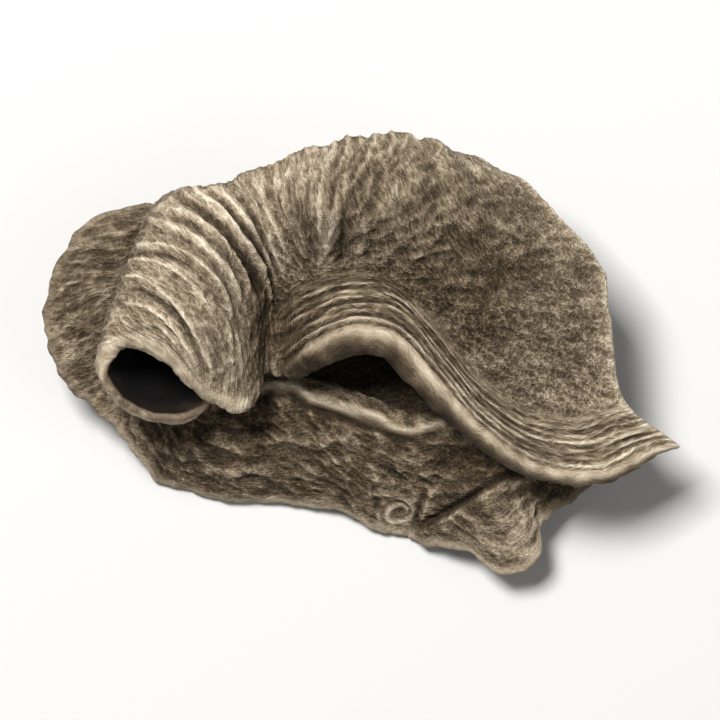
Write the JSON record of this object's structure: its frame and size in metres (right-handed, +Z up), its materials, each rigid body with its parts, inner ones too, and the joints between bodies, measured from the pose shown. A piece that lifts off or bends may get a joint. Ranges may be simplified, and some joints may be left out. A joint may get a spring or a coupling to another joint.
{
  "type": "dried wood ear mushroom",
  "caption": "Dried wood ear fruitbody: a hairy tan fan rolled into a tube on its left, over a thin wrinkled lower lobe, dark and smooth beneath.",
  "frame": {"origin": "middle of the part's box seen from above, on the surface that it rests on", "axes": "+X along the fan, from the rolled tube to the fan's pointed tip; +Y to the back, where the stub is; +Z up, out of the hairy side"},
  "size_m": [0.0506, 0.0346, 0.0177],
  "materials": {
    "dried_flesh": "dry, fibrous and matt: greyish tan wrinkles over dark brown on the hairy side, smooth dark brown on the underside"
  },
  "bodies": {
    "root": {"wood_ear": "dried_flesh"}
  },
  "joints": []
}
